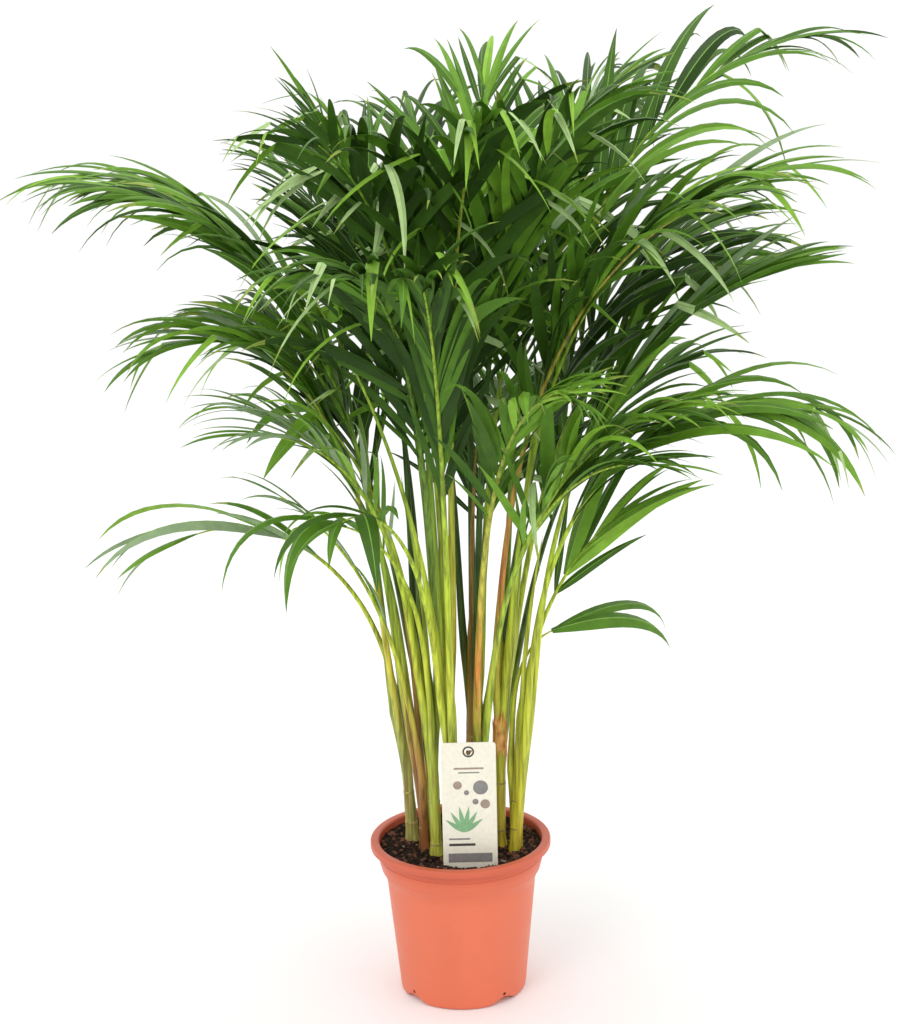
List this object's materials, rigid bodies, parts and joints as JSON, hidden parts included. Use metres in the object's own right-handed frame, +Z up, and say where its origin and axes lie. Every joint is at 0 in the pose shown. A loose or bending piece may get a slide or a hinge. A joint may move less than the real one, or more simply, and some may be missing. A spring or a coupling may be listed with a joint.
{
  "type": "potted areca palm",
  "caption": "Bushy clumping palm with arching feather fronds on slim canes, standing in a round plastic nursery pot filled with soil.",
  "frame": {"origin": "centre of the pot's flat underside, on the pot's axis", "axes": "+Z up, out of the pot; -Y towards the plant's front, where the tag stands; +X to its right"},
  "size_m": [0.9934, 0.8045, 1.1133],
  "materials": {
    "pot": "smooth moulded terracotta-coloured plastic, satin",
    "soil": "loose moist dark brown potting mix with bark chips",
    "tag": null,
    "cane": "smooth yellow-green cane with ring scars and dry sheaths",
    "stalk": "smooth yellow-green leaf stalk",
    "leaf": "satin green leaflets with a fine midrib"
  },
  "bodies": {
    "root": {"cane_01": "cane", "cane_02": "cane", "cane_03": "cane", "cane_04": "cane", "cane_05": "cane", "cane_06": "cane", "cane_07": "cane", "cane_08": "cane", "cane_09": "cane", "cane_10": "cane", "cane_11": "cane", "frond_01": "leaf", "frond_01_stalk": "stalk", "frond_02": "leaf", "frond_02_stalk": "stalk", "frond_03": "leaf", "frond_03_stalk": "stalk", "frond_04": "leaf", "frond_05": "leaf", "frond_06": "leaf", "frond_07": "leaf", "frond_08": "leaf", "frond_08_stalk": "stalk", "frond_09": "leaf", "frond_10": "leaf", "frond_11": "leaf", "frond_12": "leaf", "frond_13": "leaf", "frond_14": "leaf", "frond_15": "leaf", "frond_15_stalk": "stalk", "frond_16": "leaf", "frond_16_stalk": "stalk", "frond_17": "leaf", "frond_18": "leaf", "frond_19": "leaf", "frond_19_stalk": "stalk", "frond_20": "leaf", "frond_21": "leaf", "frond_22": "leaf", "frond_23": "leaf", "frond_24": "leaf", "frond_25": "leaf", "frond_26": "leaf", "frond_27": "leaf", "frond_28": "leaf", "frond_29": "leaf", "frond_30": "leaf", "frond_31": "leaf", "frond_32": "leaf", "frond_33": "leaf", "frond_34": "leaf", "frond_35": "leaf", "frond_36": "leaf", "frond_37": "leaf", "frond_38": "leaf", "frond_39": "leaf", "plant_tag": "tag", "pot": "pot", "soil": "soil"}
  },
  "joints": []
}
